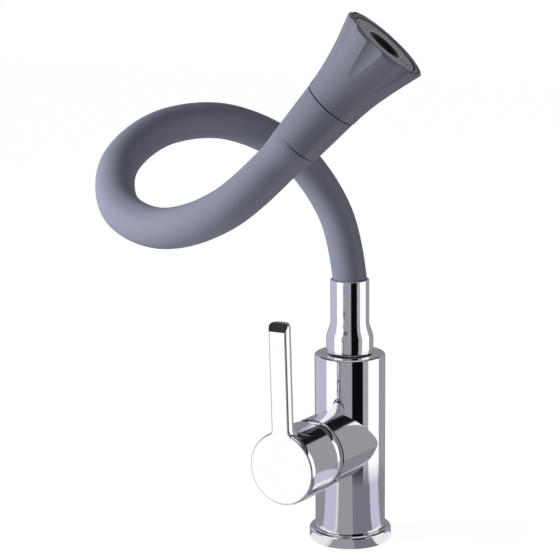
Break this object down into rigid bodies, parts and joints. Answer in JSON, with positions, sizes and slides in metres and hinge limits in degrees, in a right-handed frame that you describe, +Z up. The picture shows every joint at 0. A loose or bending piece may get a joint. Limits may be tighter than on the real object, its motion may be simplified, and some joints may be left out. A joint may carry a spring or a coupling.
{
  "type": "kitchen mixer tap",
  "caption": "Single-lever sink mixer with an upright round body, side-mounted ceramic cartridge and a bendable silicone gooseneck spout ending in a fluted spray head.",
  "frame": {"origin": "centre of the body's underside, on the worktop", "axes": "+Z up along the body, -Y forward along the cartridge barrel to the lever's disc, +X to the right seen from the front"},
  "size_m": [0.2289, 0.251, 0.3433],
  "materials": {
    "chrome": "polished",
    "brass": "satin",
    "steel": "satin",
    "grey_silicone": "satin",
    "grey_plastic": "satin",
    "light_plastic": "satin",
    "white_plastic": "matte",
    "black_plastic": "matte",
    "seal_rubber": "matte",
    "ceramic": "satin",
    "clear_tube": "gloss"
  },
  "bodies": {
    "tap_body": {"mixer_body": "chrome", "base_ring": "chrome", "base_seal": "seal_rubber", "cartridge_base": "white_plastic", "hot_port_seal": "seal_rubber", "cold_port_seal": "seal_rubber", "outlet_port_seal": "seal_rubber", "cartridge_shell": "white_plastic", "fixed_ceramic_disc": "ceramic", "retaining_nut": "brass", "trim_ring": "chrome", "glide_washer": "black_plastic", "retaining_clip": "steel"},
    "rotor": {"cartridge_rotor": "white_plastic", "spindle_pin": "steel"},
    "lever": {"lever_handle": "chrome", "spindle": "brass", "handle_set_screw": "steel", "handle_plug": "grey_plastic"},
    "disc": {"moving_ceramic_disc": "ceramic", "disc_carrier": "white_plastic"},
    "spout": {"spout_stem": "brass", "lower_stem_seal": "seal_rubber", "upper_stem_seal": "seal_rubber", "spout_ferrule": "chrome", "gooseneck_core_1": "steel", "water_tube": "clear_tube", "silicone_sleeve": "grey_silicone"},
    "gooseneck_2": {"gooseneck_core_2": "steel"},
    "gooseneck_3": {"gooseneck_core_3": "steel"},
    "gooseneck_end": {"gooseneck_core_4": "steel", "nozzle_collar": "grey_plastic", "head_inlet": "brass", "head_seal": "seal_rubber"},
    "head": {"spray_head": "grey_silicone", "water_chamber": "white_plastic", "aerator_housing": "black_plastic", "aerator_insert": "black_plastic", "aerator_screen": "black_plastic", "spray_plate": "light_plastic"}
  },
  "joints": [
    {"name": "lever_turn", "type": "hinge", "parent": "tap_body", "child": "rotor", "pos_m": [0, -0.046, 0.066], "axis": [0, 1, 0], "range_deg": [-45, 45]},
    {"name": "lever_lift", "type": "hinge", "parent": "rotor", "child": "lever", "pos_m": [0, -0.046, 0.066], "axis": [1, 0, 0], "range_deg": [0, 18]},
    {"name": "disc_slide", "type": "slide", "parent": "rotor", "child": "disc", "axis": [0, 0, 1], "range_m": [0, 0.0044]},
    {"name": "spout_swivel", "type": "hinge", "parent": "tap_body", "child": "spout", "pos_m": [0, 0, 0.12], "axis": [0, 0, 1], "continuous": true},
    {"name": "bend_1", "type": "hinge", "parent": "spout", "child": "gooseneck_2", "pos_m": [-0.0348, -0.03154, 0.25674], "axis": [0.8754, -0.4301, 0.2206], "range_deg": [-20, 20], "deforming": ["silicone_sleeve", "water_tube"]},
    {"name": "bend_2", "type": "hinge", "parent": "gooseneck_2", "child": "gooseneck_3", "pos_m": [-0.06213, -0.13272, 0.26318], "axis": [0.4507, -0.1363, 0.8822], "range_deg": [-20, 20], "deforming": ["silicone_sleeve", "water_tube"]},
    {"name": "bend_3", "type": "hinge", "parent": "gooseneck_3", "child": "gooseneck_end", "pos_m": [0.00642, -0.20544, 0.23153], "axis": [-0.2862, -0.84, 0.461], "range_deg": [-20, 20], "deforming": ["silicone_sleeve", "water_tube"]},
    {"name": "head_turn", "type": "hinge", "parent": "gooseneck_end", "child": "head", "pos_m": [0.112, -0.203, 0.2999], "axis": [0.6314, 0.1974, 0.7499], "continuous": true}
  ],
  "couplings": [
    {"joint": "disc_slide", "follows": "lever_lift", "m_per_rad": 0.014}
  ]
}
